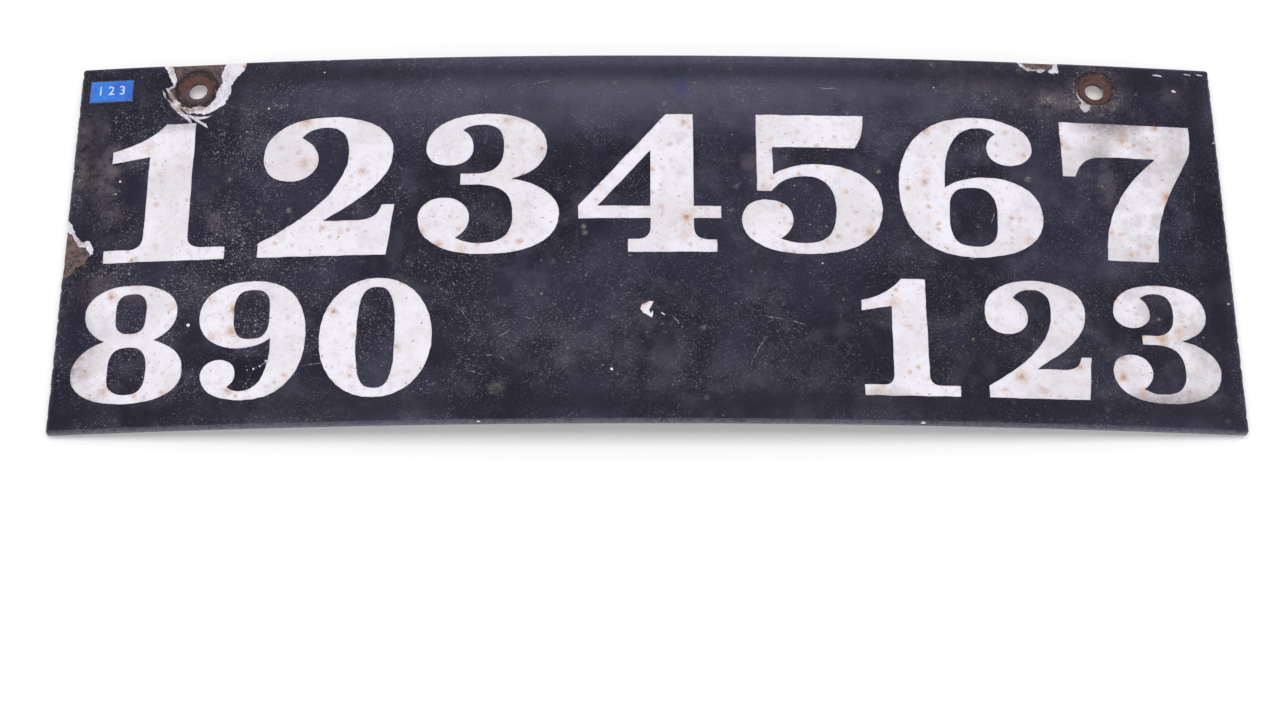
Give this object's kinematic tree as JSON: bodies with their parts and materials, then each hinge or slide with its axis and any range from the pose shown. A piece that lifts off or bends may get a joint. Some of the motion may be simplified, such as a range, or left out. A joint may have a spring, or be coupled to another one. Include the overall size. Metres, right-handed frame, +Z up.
{
  "type": "enamelled sign plate",
  "caption": "Bowed rectangular enamelled steel sign plate with white slab figures on black, dished fixing holes near the top corners and a small strip of label tape.",
  "frame": {"origin": "middle of the plate's width and height, on the plane of the wall behind it, which the rear corners of its two ends touch", "axes": "+Z up, +X to the reader's right, -Y out of the front of the sign"},
  "size_m": [0.432, 0.0134, 0.1524],
  "materials": {
    "sheet_steel": "matte",
    "ground_enamel": "satin",
    "white_enamel": "gloss",
    "black_enamel": "gloss",
    "tape_glue": "matte",
    "tape_vinyl": "gloss"
  },
  "bodies": {
    "root": {"steel_sheet": "sheet_steel", "ground_coat": "ground_enamel", "white_coat": "white_enamel", "black_coat": "black_enamel", "black_counter_4": "black_enamel", "black_counter_6": "black_enamel", "black_counter_8_upper": "black_enamel", "black_counter_8_lower": "black_enamel", "black_counter_9": "black_enamel", "black_counter_0": "black_enamel", "tape_adhesive": "tape_glue", "label_tape": "tape_vinyl"}
  },
  "joints": []
}
